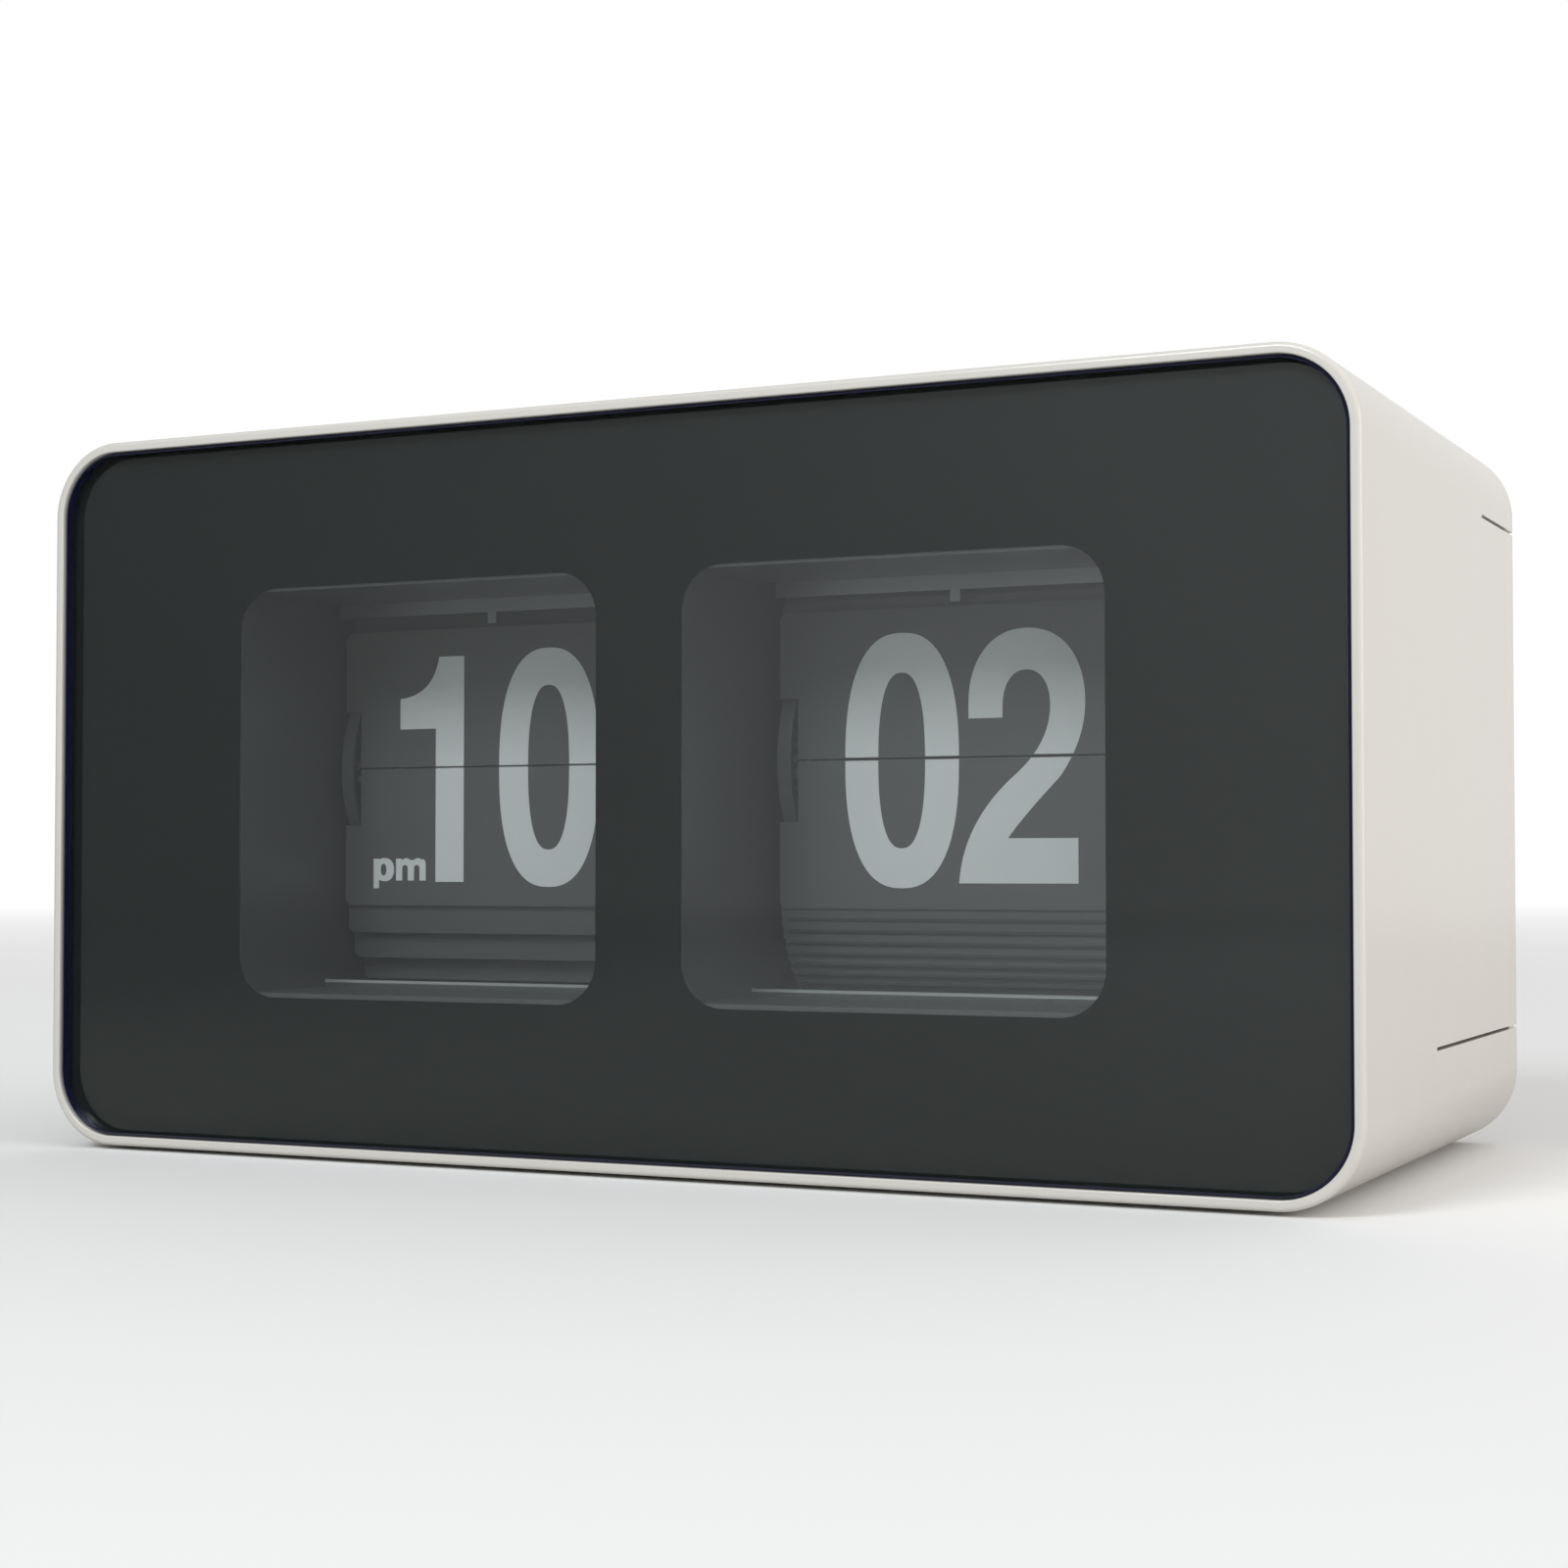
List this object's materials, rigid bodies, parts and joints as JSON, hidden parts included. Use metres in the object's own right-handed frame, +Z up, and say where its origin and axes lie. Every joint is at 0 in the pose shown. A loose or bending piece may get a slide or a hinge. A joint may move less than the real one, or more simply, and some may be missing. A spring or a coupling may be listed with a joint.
{
  "type": "flip number clock",
  "caption": "Desk clock that shows hours and minutes on falling split leaves behind two windows, with its geared drums, motor unit, battery bay and rear cover.",
  "frame": {"origin": "middle of the footprint, on the surface the feet stand on", "axes": "+X to the viewer's right along the long side, +Y to the back, +Z up"},
  "size_m": [0.21, 0.1, 0.111],
  "materials": {
    "case_plastic": "smooth gloss, warm white",
    "clear_acrylic": "clear and polished",
    "black_print": "opaque black print behind the clear panel",
    "frame_plastic": "fine satin",
    "black_plastic": "satin",
    "leaf_plastic": "thin satin film",
    "white_acetal": "satin natural white",
    "zinc_steel": "zinc plated sheet",
    "spring_steel": "darkened spring strip",
    "bright_steel": "ground rod",
    "screw_steel": "zinc plated",
    "brass": "machined",
    "copper_wire": "enamelled winding",
    "board_green": "varnished circuit board",
    "cell_wrap": "plain unprinted sleeve",
    "nickel_contact": "nickel plated",
    "red_insulation": "satin insulation",
    "black_insulation": "satin insulation",
    "foot_rubber": "fine matt"
  },
  "bodies": {
    "root": {"housing_shell": "case_plastic", "front_lens": "clear_acrylic", "front_mask": "black_print", "display_frame": "frame_plastic", "minute_leaf_retainer": "spring_steel", "hour_leaf_retainer": "spring_steel", "minute_leaves": "leaf_plastic", "hour_leaves": "leaf_plastic", "drum_axle": "bright_steel", "axle_clips": "bright_steel", "axle_spacers": "white_acetal", "side_plate_left": "zinc_steel", "side_plate_right": "zinc_steel", "centre_bracket": "zinc_steel", "base_plate": "zinc_steel", "motor_case": "black_plastic", "motor_lid": "black_plastic", "motor_coil": "copper_wire", "movement_board": "board_green", "set_bush": "white_acetal", "battery_holder": "black_plastic", "battery_cell": "cell_wrap", "battery_spring": "nickel_contact", "battery_contact": "nickel_contact", "lead_red": "red_insulation", "lead_black": "black_insulation", "rubber_feet": "foot_rubber", "chassis_screws": "screw_steel", "plate_screws": "screw_steel", "frame_screws": "screw_steel"},
    "minute_drum": {"minute_disc_left": "frame_plastic", "minute_disc_right": "frame_plastic", "minute_sleeve": "white_acetal", "minute_pinion": "white_acetal", "minute_gear": "white_acetal"},
    "hour_drum": {"hour_disc_left": "frame_plastic", "hour_disc_right": "frame_plastic", "hour_sleeve": "white_acetal", "hour_gear": "white_acetal"},
    "transfer": {"transfer_arbor": "bright_steel", "transfer_wheel": "white_acetal", "transfer_pinion": "white_acetal"},
    "motor_output": {"motor_shaft": "bright_steel", "motor_pinion": "brass"},
    "set_wheel": {"set_shaft": "bright_steel", "set_gear": "white_acetal", "set_thumbwheel": "black_plastic"},
    "minute_leaf": {"minute_front_leaf": "leaf_plastic"},
    "hour_leaf": {"hour_front_leaf": "leaf_plastic"},
    "rear_cover": {"rear_cover": "case_plastic"},
    "battery_door": {"battery_door": "case_plastic"}
  },
  "joints": [
    {"name": "minute_drum_spin", "type": "hinge", "parent": "root", "child": "minute_drum", "pos_m": [0.0394, -0.0045, 0.06], "axis": [1, 0, 0], "continuous": true},
    {"name": "hour_drum_spin", "type": "hinge", "parent": "root", "child": "hour_drum", "pos_m": [-0.0394, -0.0045, 0.06], "axis": [1, 0, 0], "continuous": true},
    {"name": "transfer_spin", "type": "hinge", "parent": "root", "child": "transfer", "pos_m": [0, 0.0165, 0.06], "axis": [1, 0, 0], "continuous": true},
    {"name": "motor_output_spin", "type": "hinge", "parent": "root", "child": "motor_output", "pos_m": [0.071, -0.02059, 0.0465], "axis": [1, 0, 0], "continuous": true},
    {"name": "set_wheel_spin", "type": "hinge", "parent": "root", "child": "set_wheel", "pos_m": [0.0835, 0.0255, 0.06], "axis": [1, 0, 0], "continuous": true},
    {"name": "minute_leaf_fall", "type": "hinge", "parent": "root", "child": "minute_leaf", "pos_m": [0.0394, -0.022, 0.06], "axis": [1, 0, 0], "range_deg": [0, 180]},
    {"name": "hour_leaf_fall", "type": "hinge", "parent": "root", "child": "hour_leaf", "pos_m": [-0.0394, -0.022, 0.06], "axis": [1, 0, 0], "range_deg": [0, 180]},
    {"name": "rear_cover_pull", "type": "slide", "parent": "root", "child": "rear_cover", "axis": [0, 1, 0], "range_m": [0, 0.06]},
    {"name": "battery_door_tilt", "type": "hinge", "parent": "rear_cover", "child": "battery_door", "pos_m": [-0.08915, 0.04705, 0.02525], "axis": [-1, 0, 0], "range_deg": [0, 75]}
  ],
  "couplings": [
    {"joint": "hour_drum_spin", "follows": "minute_drum_spin", "ratio": 0.041667},
    {"joint": "transfer_spin", "follows": "minute_drum_spin", "ratio": -0.16667},
    {"joint": "motor_output_spin", "follows": "minute_drum_spin", "ratio": -6},
    {"joint": "set_wheel_spin", "follows": "minute_drum_spin", "ratio": -1.5}
  ]
}
